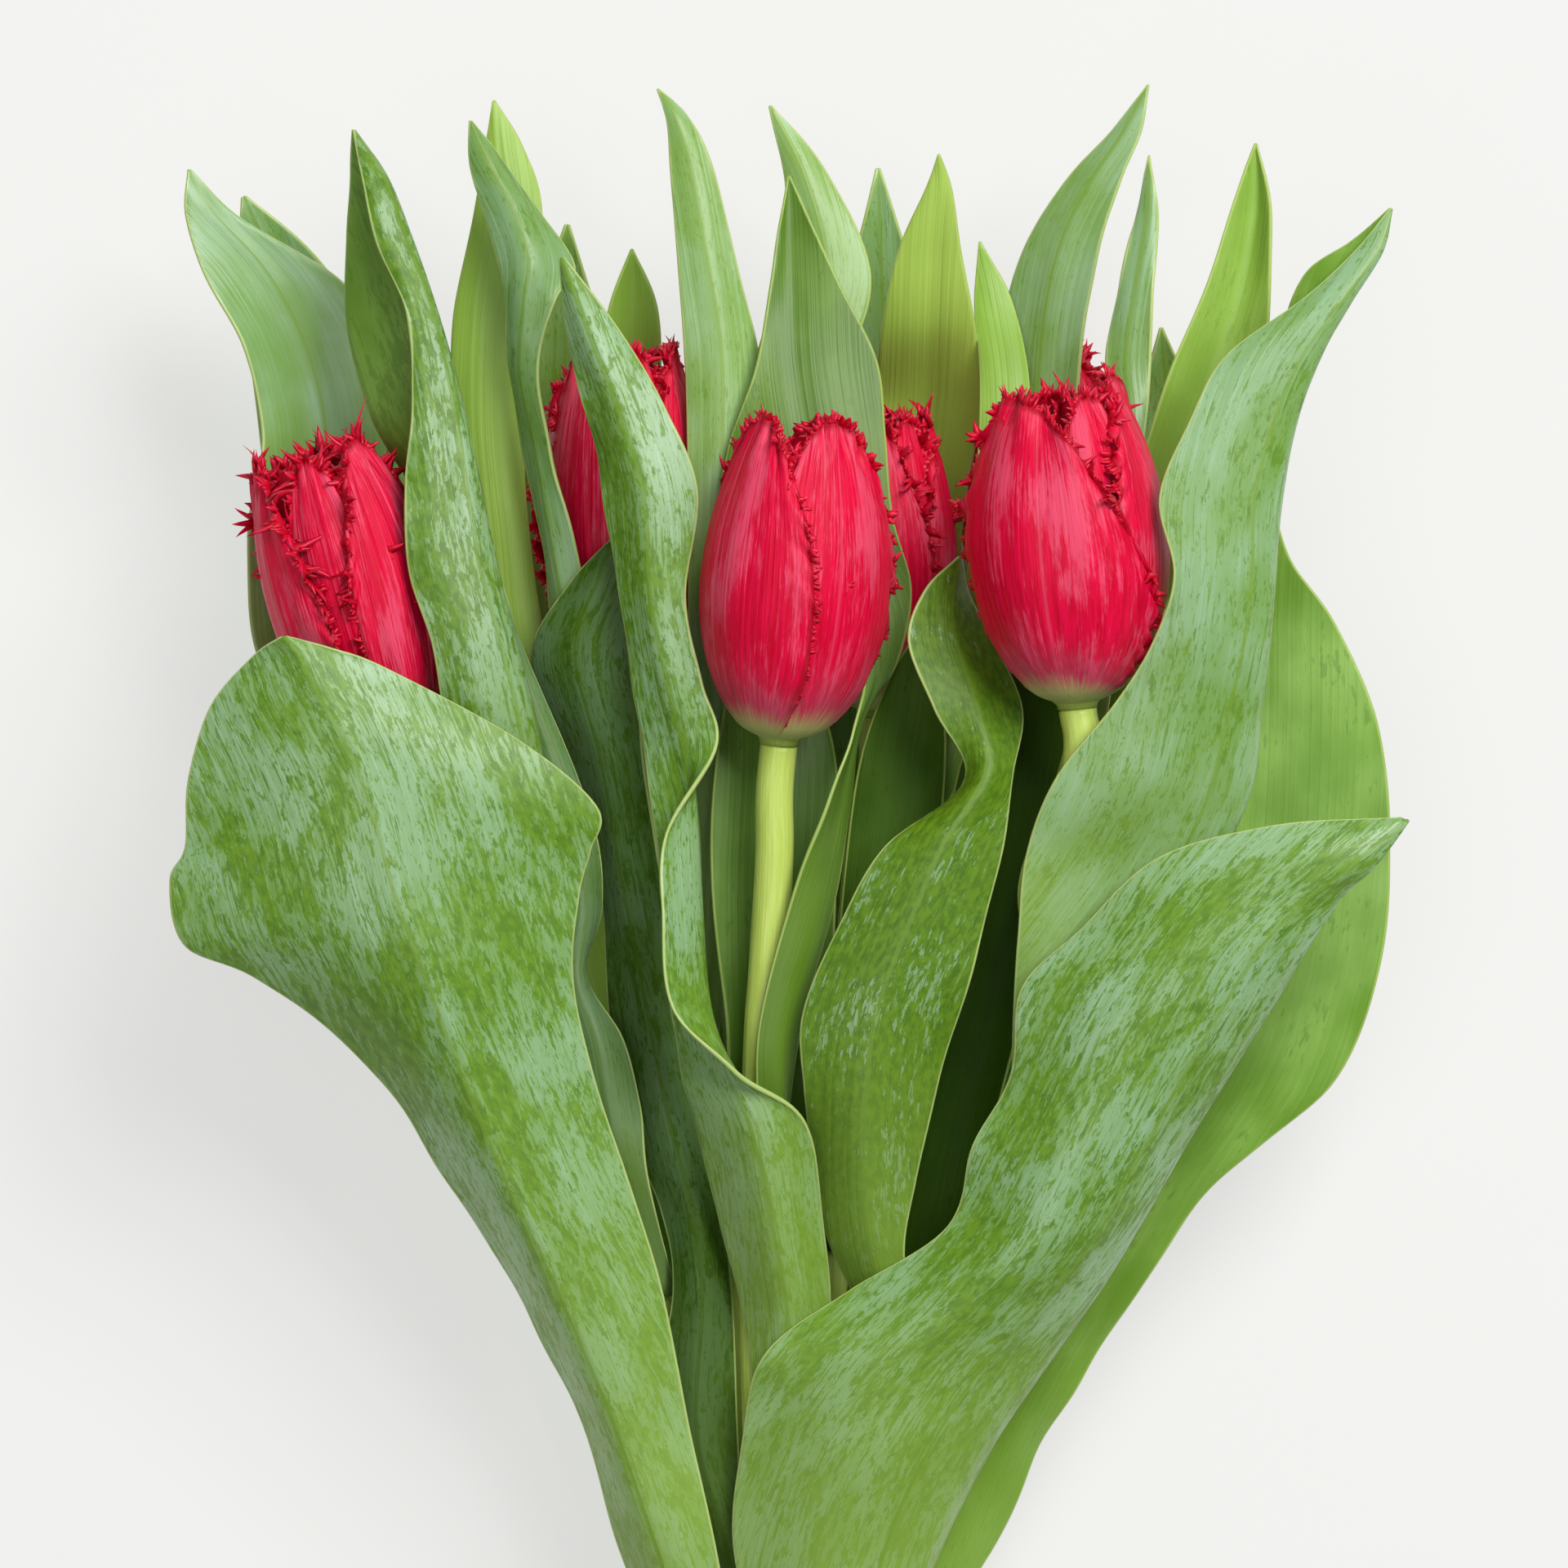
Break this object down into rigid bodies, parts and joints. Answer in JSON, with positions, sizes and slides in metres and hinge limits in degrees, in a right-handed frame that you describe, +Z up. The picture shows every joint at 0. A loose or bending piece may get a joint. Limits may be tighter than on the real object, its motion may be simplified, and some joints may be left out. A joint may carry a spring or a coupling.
{
  "type": "bunch of fringed tulips",
  "caption": "Bunch of cut fringed tulips with closed crimson blooms, broad waved leaves and a rubber band round the stems, lying on its back.",
  "frame": {"origin": "centre of the bounding box's bottom, on the surface that the bunch lies on", "axes": "+Y along the stems from their cut ends to the flowers, +X to the right seen from above with the flowers away, +Z up"},
  "size_m": [0.2262, 0.3818, 0.0989],
  "materials": {
    "leaf": "fresh tulip leaf with a waxy bloom",
    "petal": "fresh crimson tulip petal with a waxy sheen",
    "stem": "smooth fresh yellow-green stem",
    "pistil": "pale green pistil and stamens",
    "tie": "green rubber band"
  },
  "bodies": {
    "root": {"stem_a": "stem", "bloom_a": "petal", "pistil_and_stamens_a": "pistil", "leaf_a_broad_front": "leaf", "leaf_a_tall": "leaf", "leaf_a_slim_dark": "leaf", "leaf_a_fan": "leaf", "leaf_a_under": "leaf", "stem_b": "stem", "bloom_b": "petal", "pistil_and_stamens_b": "pistil", "leaf_b_rolled": "leaf", "leaf_b_tall_middle": "leaf", "leaf_b_pale": "leaf", "leaf_b_short": "leaf", "leaf_b_under": "leaf", "stem_c": "stem", "bloom_c": "petal", "pistil_and_stamens_c": "pistil", "leaf_c_long_front": "leaf", "leaf_c_behind_bloom": "leaf", "leaf_c_dark_left": "leaf", "leaf_c_behind_stem": "leaf", "stem_d": "stem", "bloom_d": "petal", "pistil_and_stamens_d": "pistil", "leaf_d_bright": "leaf", "leaf_d_short": "leaf", "leaf_d_dark": "leaf", "stem_e": "stem", "bloom_e": "petal", "pistil_and_stamens_e": "pistil", "leaf_e_broad_front": "leaf", "leaf_e_wavy_left": "leaf", "leaf_e_wavy_right": "leaf", "leaf_e_tall_folded": "leaf", "leaf_e_ribbon": "leaf", "stem_f": "stem", "bloom_f": "petal", "pistil_and_stamens_f": "pistil", "leaf_f_broad_right": "leaf", "leaf_f_tall_curved": "leaf", "leaf_f_dark": "leaf", "leaf_f_under": "leaf", "stem_g": "stem", "bloom_g": "petal", "pistil_and_stamens_g": "pistil", "leaf_g_middle": "leaf", "leaf_g_under": "leaf", "tie": "tie"}
  },
  "joints": []
}
